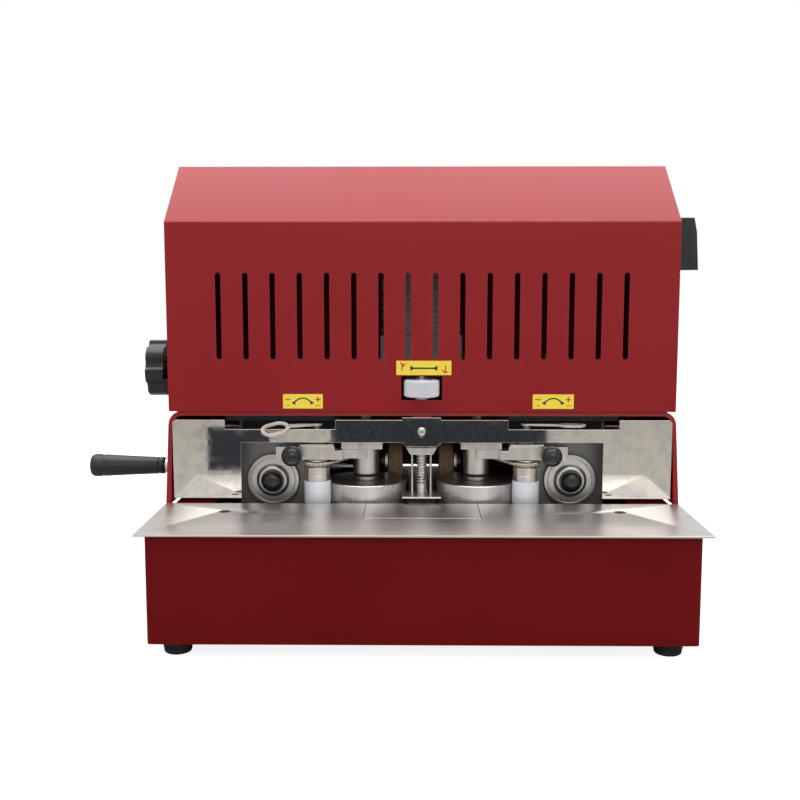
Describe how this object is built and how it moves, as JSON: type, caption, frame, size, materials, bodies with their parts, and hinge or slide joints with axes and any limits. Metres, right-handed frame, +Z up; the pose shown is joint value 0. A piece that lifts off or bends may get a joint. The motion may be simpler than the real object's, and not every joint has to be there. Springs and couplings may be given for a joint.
{
  "type": "strap edge inking machine",
  "caption": "Bench-top machine that inks both edges of a leather strap: steel table, mirror guard, arch with sliding inking wheels and rollers, and a vented housing with the drive.",
  "frame": {"origin": "on the bench under the middle of the bounding box; the strap path lies 37 mm to +X of it", "axes": "+X to the operator's right, +Y from the operator into the machine, +Z up"},
  "size_m": [0.6172, 0.34, 0.4364],
  "materials": {
    "red_paint": "semi-gloss powder coat",
    "brushed_stainless": "brushed",
    "mirror_stainless": "polished",
    "turned_steel": "turned",
    "grey_casting": "satin",
    "bright_zinc": "plated",
    "black_rubber": "moulded",
    "brown_rubber": "moulded",
    "black_plastic": "moulded",
    "grey_plastic": "satin moulded",
    "white_nylon": "turned",
    "label_yellow": "printed film",
    "motor_grey": "satin",
    "belt_amber": "moulded",
    "black_steel": "satin"
  },
  "bodies": {
    "machine": {"base_box": "red_paint", "base_floor": "black_steel", "rubber_feet": "black_rubber", "table_plate": "brushed_stainless", "table_insert": "brushed_stainless", "table_screws": "bright_zinc", "arch_frame": "red_paint", "guard_panel": "mirror_stainless", "guard_screw": "bright_zinc", "housing_cover": "red_paint", "rear_panel": "red_paint", "power_inlet": "black_plastic", "labels": "label_yellow", "switch_pod": "grey_plastic", "gear_motor": "motor_grey", "motor_stand": "bright_zinc", "screw_bearings": "bright_zinc", "guide_rods": "turned_steel", "lever_mounts": "black_steel", "yoke_posts": "bright_zinc", "lever_bracket": "bright_zinc"},
    "width_adjuster": {"lead_screw": "turned_steel", "width_knob": "black_plastic"},
    "height_rod": {"height_rod": "bright_zinc", "foot_spring": "bright_zinc"},
    "foot": {"hold_down_foot": "mirror_stainless"},
    "thumb_wheel": {"thumb_wheel": "white_nylon"},
    "press_yoke": {"press_yoke": "bright_zinc"},
    "press_wheels": {"press_wheels": "brown_rubber"},
    "lift_lever": {"lift_lever": "bright_zinc", "lever_grip": "grey_plastic"},
    "power_rocker": {"power_rocker": "black_plastic"},
    "drive_gear_left": {"drive_gear_left": "turned_steel"},
    "drive_gear_right": {"drive_gear_right": "turned_steel"},
    "carriage_left": {"carriage_left": "grey_casting", "ink_tray_left": "brushed_stainless", "drive_belt_left": "belt_amber", "spring_belt_left": "bright_zinc"},
    "ink_wheel_left": {"ink_wheel_left": "turned_steel"},
    "jackshaft_left": {"jackshaft_left": "turned_steel"},
    "roller_arm_left": {"roller_arm_left": "turned_steel", "ball_knob_left": "black_plastic"},
    "ink_roller_left": {"ink_roller_left": "white_nylon", "roller_pulley_left": "turned_steel"},
    "dial_left": {"dial_left": "turned_steel", "dial_cap_left": "black_plastic"},
    "ring_lever_left": {"ring_lever_left": "brushed_stainless"},
    "carriage_right": {"carriage_right": "grey_casting", "ink_tray_right": "brushed_stainless", "drive_belt_right": "belt_amber", "spring_belt_right": "bright_zinc"},
    "ink_wheel_right": {"ink_wheel_right": "turned_steel"},
    "jackshaft_right": {"jackshaft_right": "turned_steel"},
    "roller_arm_right": {"roller_arm_right": "turned_steel", "ball_knob_right": "black_plastic"},
    "ink_roller_right": {"ink_roller_right": "white_nylon", "roller_pulley_right": "turned_steel"},
    "dial_right": {"dial_right": "turned_steel", "dial_cap_right": "black_plastic"},
    "ring_lever_right": {"ring_lever_right": "brushed_stainless"}
  },
  "joints": [
    {"name": "width_knob_turn", "type": "hinge", "parent": "machine", "child": "width_adjuster", "pos_m": [-0.208, 0.02, 0.2351], "axis": [1, 0, 0], "range_deg": [0, 2720]},
    {"name": "thumb_wheel_turn", "type": "hinge", "parent": "machine", "child": "thumb_wheel", "pos_m": [0.037, -0.018, 0.2185], "axis": [0, 0, 1], "range_deg": [0, 3490]},
    {"name": "rod_height", "type": "slide", "parent": "machine", "child": "height_rod", "axis": [0, 0, 1], "range_m": [0, 0.0121]},
    {"name": "foot_press", "type": "slide", "parent": "height_rod", "child": "foot", "axis": [0, 0, 1], "range_m": [0, 0.006], "stiffness_N_per_m": 600, "springref_m": -0.004, "deforming": ["foot_spring"]},
    {"name": "drive_gear_left_spin", "type": "hinge", "parent": "machine", "child": "drive_gear_left", "pos_m": [0.023, 0.075, 0.2055], "axis": [0, 0, 1], "continuous": true},
    {"name": "drive_gear_right_spin", "type": "hinge", "parent": "machine", "child": "drive_gear_right", "pos_m": [0.051, 0.075, 0.2055], "axis": [0, 0, 1], "continuous": true},
    {"name": "carriage_left_slide", "type": "slide", "parent": "machine", "child": "carriage_left", "axis": [-1, 0, 0], "range_m": [0, 0.0151], "deforming": ["drive_belt_left"]},
    {"name": "ink_wheel_left_spin", "type": "hinge", "parent": "carriage_left", "child": "ink_wheel_left", "pos_m": [-0.018, 0.0017, 0.1135], "axis": [0, 0, 1], "continuous": true},
    {"name": "jackshaft_left_spin", "type": "hinge", "parent": "carriage_left", "child": "jackshaft_left", "pos_m": [-0.0329, 0.023, 0.1705], "axis": [0, 0, 1], "continuous": true},
    {"name": "roller_arm_left_swing", "type": "hinge", "parent": "carriage_left", "child": "roller_arm_left", "pos_m": [-0.023, -0.018, 0.1555], "axis": [0, 0, 1], "range_deg": [0, 8.5], "deforming": ["spring_belt_left"]},
    {"name": "ink_roller_left_spin", "type": "hinge", "parent": "roller_arm_left", "child": "ink_roller_left", "pos_m": [-0.0642, -0.0253, 0.1255], "axis": [0, 0, 1], "continuous": true},
    {"name": "dial_left_turn", "type": "hinge", "parent": "carriage_left", "child": "dial_left", "pos_m": [-0.1095, -0.01, 0.1265], "axis": [0, -1, 0], "range_deg": [-135, 135]},
    {"name": "carriage_right_slide", "type": "slide", "parent": "machine", "child": "carriage_right", "axis": [1, 0, 0], "range_m": [0, 0.0151], "deforming": ["drive_belt_right"]},
    {"name": "ink_wheel_right_spin", "type": "hinge", "parent": "carriage_right", "child": "ink_wheel_right", "pos_m": [0.092, 0.0017, 0.1135], "axis": [0, 0, 1], "continuous": true},
    {"name": "jackshaft_right_spin", "type": "hinge", "parent": "carriage_right", "child": "jackshaft_right", "pos_m": [0.1069, 0.023, 0.1705], "axis": [0, 0, 1], "continuous": true},
    {"name": "roller_arm_right_swing", "type": "hinge", "parent": "carriage_right", "child": "roller_arm_right", "pos_m": [0.097, -0.018, 0.1555], "axis": [0, 0, -1], "range_deg": [0, 8.5], "deforming": ["spring_belt_right"]},
    {"name": "ink_roller_right_spin", "type": "hinge", "parent": "roller_arm_right", "child": "ink_roller_right", "pos_m": [0.1382, -0.0253, 0.1255], "axis": [0, 0, 1], "continuous": true},
    {"name": "dial_right_turn", "type": "hinge", "parent": "carriage_right", "child": "dial_right", "pos_m": [0.1835, -0.01, 0.1265], "axis": [0, -1, 0], "range_deg": [-135, 135]},
    {"name": "ring_lever_left_swing", "type": "hinge", "parent": "machine", "child": "ring_lever_left", "pos_m": [-0.065, -0.02, 0.1835], "axis": [0, 0, 1], "range_deg": [0, 24]},
    {"name": "ring_lever_right_swing", "type": "hinge", "parent": "machine", "child": "ring_lever_right", "pos_m": [0.139, -0.02, 0.1835], "axis": [0, 0, -1], "range_deg": [0, 33]},
    {"name": "yoke_lift", "type": "hinge", "parent": "machine", "child": "press_yoke", "pos_m": [0.037, 0.116, 0.1625], "axis": [-1, 0, 0], "range_deg": [0, 9]},
    {"name": "lift_lever_press", "type": "hinge", "parent": "machine", "child": "lift_lever", "pos_m": [-0.175, 0.052, 0.1293], "axis": [0, -1, 0], "range_deg": [0, 3.5]},
    {"name": "press_wheels_spin", "type": "hinge", "parent": "press_yoke", "child": "press_wheels", "pos_m": [0.037, 0.066, 0.1325], "axis": [1, 0, 0], "continuous": true},
    {"name": "power_rocker_tip", "type": "hinge", "parent": "machine", "child": "power_rocker", "pos_m": [0.3027, 0.04, 0.3525], "axis": [0, -1, 0], "range_deg": [0, 14]}
  ],
  "couplings": [
    {"joint": "thumb_wheel_turn", "follows": "rod_height", "rad_per_m": 5026.5},
    {"joint": "carriage_left_slide", "follows": "carriage_right_slide", "ratio": 1},
    {"joint": "width_knob_turn", "follows": "carriage_right_slide", "rad_per_m": 3141.6},
    {"joint": "ink_wheel_left_spin", "follows": "ink_wheel_right_spin", "ratio": -1},
    {"joint": "jackshaft_right_spin", "follows": "ink_wheel_right_spin", "ratio": -1},
    {"joint": "jackshaft_left_spin", "follows": "ink_wheel_right_spin", "ratio": 1},
    {"joint": "drive_gear_right_spin", "follows": "ink_wheel_right_spin", "ratio": 1},
    {"joint": "drive_gear_left_spin", "follows": "ink_wheel_right_spin", "ratio": -1},
    {"joint": "ink_roller_right_spin", "follows": "ink_wheel_right_spin", "ratio": -0.6087},
    {"joint": "ink_roller_left_spin", "follows": "ink_wheel_right_spin", "ratio": 0.6087},
    {"joint": "lift_lever_press", "follows": "yoke_lift", "ratio": 0.38}
  ]
}
